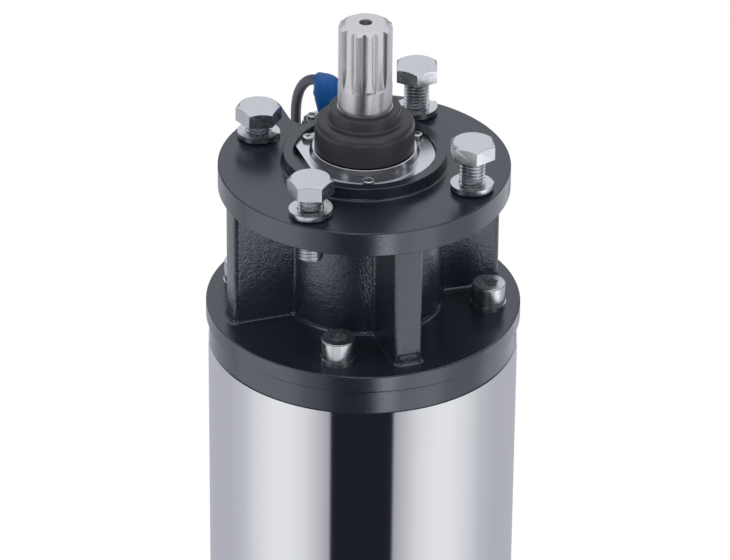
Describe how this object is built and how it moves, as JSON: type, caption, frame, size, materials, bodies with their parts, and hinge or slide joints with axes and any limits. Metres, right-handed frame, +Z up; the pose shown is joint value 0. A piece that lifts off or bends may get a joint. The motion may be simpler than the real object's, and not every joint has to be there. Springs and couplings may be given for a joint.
{
  "type": "submersible well pump motor",
  "caption": "Water-tight electric motor that drives a well pump: steel tube, cast upper bracket with pump flange, splined shaft, sand slinger and lead.",
  "frame": {"origin": "centre of the base face that the motor stands on", "axes": "+Z up along the shaft, +Y towards the cable notch of the flange"},
  "size_m": [0.1794, 0.2625, 0.673],
  "materials": {
    "cast_black": "satin black paint on a sand casting, machined flange and rims",
    "shell_steel": "polished stainless steel tube",
    "ring_black": "smooth satin black paint on a turned ring",
    "fastener_steel": "bright stainless steel, threads and heads",
    "shaft_steel": "ground stainless steel shaft with milled splines",
    "cover_steel": "satin stainless steel cover",
    "slinger_rubber": "matte black rubber",
    "seal_rubber": "black nitrile rubber",
    "boot_blue": "blue soft sleeve, slight sheen",
    "lead_grey": "dark grey cable sheath",
    "core_plastic": "coloured insulation of the cores",
    "end_sleeve_metal": "tinned end sleeves",
    "tie_plastic": "black nylon band",
    "lamination_steel": "stacked electrical steel",
    "winding_varnish": "varnished copper windings",
    "copper": "cast copper end rings",
    "bush_carbon": "carbon bearing material",
    "seal_ceramic": "hard ceramic seal faces",
    "thrust_steel": "hardened steel thrust parts"
  },
  "bodies": {
    "motor": {"upper_bracket": "cast_black", "lower_bracket": "cast_black", "bottom_cover": "cast_black", "stator_top_ring": "ring_black", "stator_bottom_ring": "ring_black", "stator_shell": "shell_steel", "stator_core": "lamination_steel", "upper_winding_head": "winding_varnish", "lower_winding_head": "winding_varnish", "diaphragm": "seal_rubber", "upper_seal_ring": "seal_rubber", "lower_seal_ring": "seal_rubber", "upper_bush": "bush_carbon", "lower_bush": "bush_carbon", "pad_carrier": "thrust_steel", "thrust_pads": "bush_carbon", "seal_seat": "seal_ceramic", "seal_cover": "cover_steel", "lower_screws": "fastener_steel", "lower_washers": "fastener_steel", "base_screws": "fastener_steel", "plug_clamp": "fastener_steel", "plug_boot": "boot_blue", "lead_cable": "lead_grey", "lead_coil": "lead_grey", "lead_tail": "lead_grey", "coil_tie": "tie_plastic", "lead_cores": "core_plastic", "lead_end_sleeves": "end_sleeve_metal", "flange_bolt_1": "fastener_steel", "spring_washer_1": "fastener_steel", "upper_screw_1": "fastener_steel", "upper_washer_1": "fastener_steel", "flange_bolt_2": "fastener_steel", "spring_washer_2": "fastener_steel", "upper_screw_2": "fastener_steel", "upper_washer_2": "fastener_steel", "flange_bolt_3": "fastener_steel", "spring_washer_3": "fastener_steel", "upper_screw_3": "fastener_steel", "upper_washer_3": "fastener_steel", "flange_bolt_4": "fastener_steel", "spring_washer_4": "fastener_steel", "upper_screw_4": "fastener_steel", "upper_washer_4": "fastener_steel", "seal_cover_screw_1": "fastener_steel", "seal_cover_screw_2": "fastener_steel", "seal_cover_screw_3": "fastener_steel", "clamp_screw_1": "fastener_steel", "clamp_screw_2": "fastener_steel"},
    "rotor": {"rotor_shaft": "shaft_steel", "rotor_core": "lamination_steel", "lower_end_ring": "copper", "upper_end_ring": "copper", "thrust_disc": "thrust_steel", "thrust_nut": "thrust_steel", "seal_head": "seal_ceramic", "seal_spring": "fastener_steel", "sand_slinger": "slinger_rubber"}
  },
  "joints": [
    {"name": "rotor_spin", "type": "hinge", "parent": "motor", "child": "rotor", "pos_m": [0, 0, 0.6354], "axis": [0, 0, 1], "continuous": true}
  ]
}
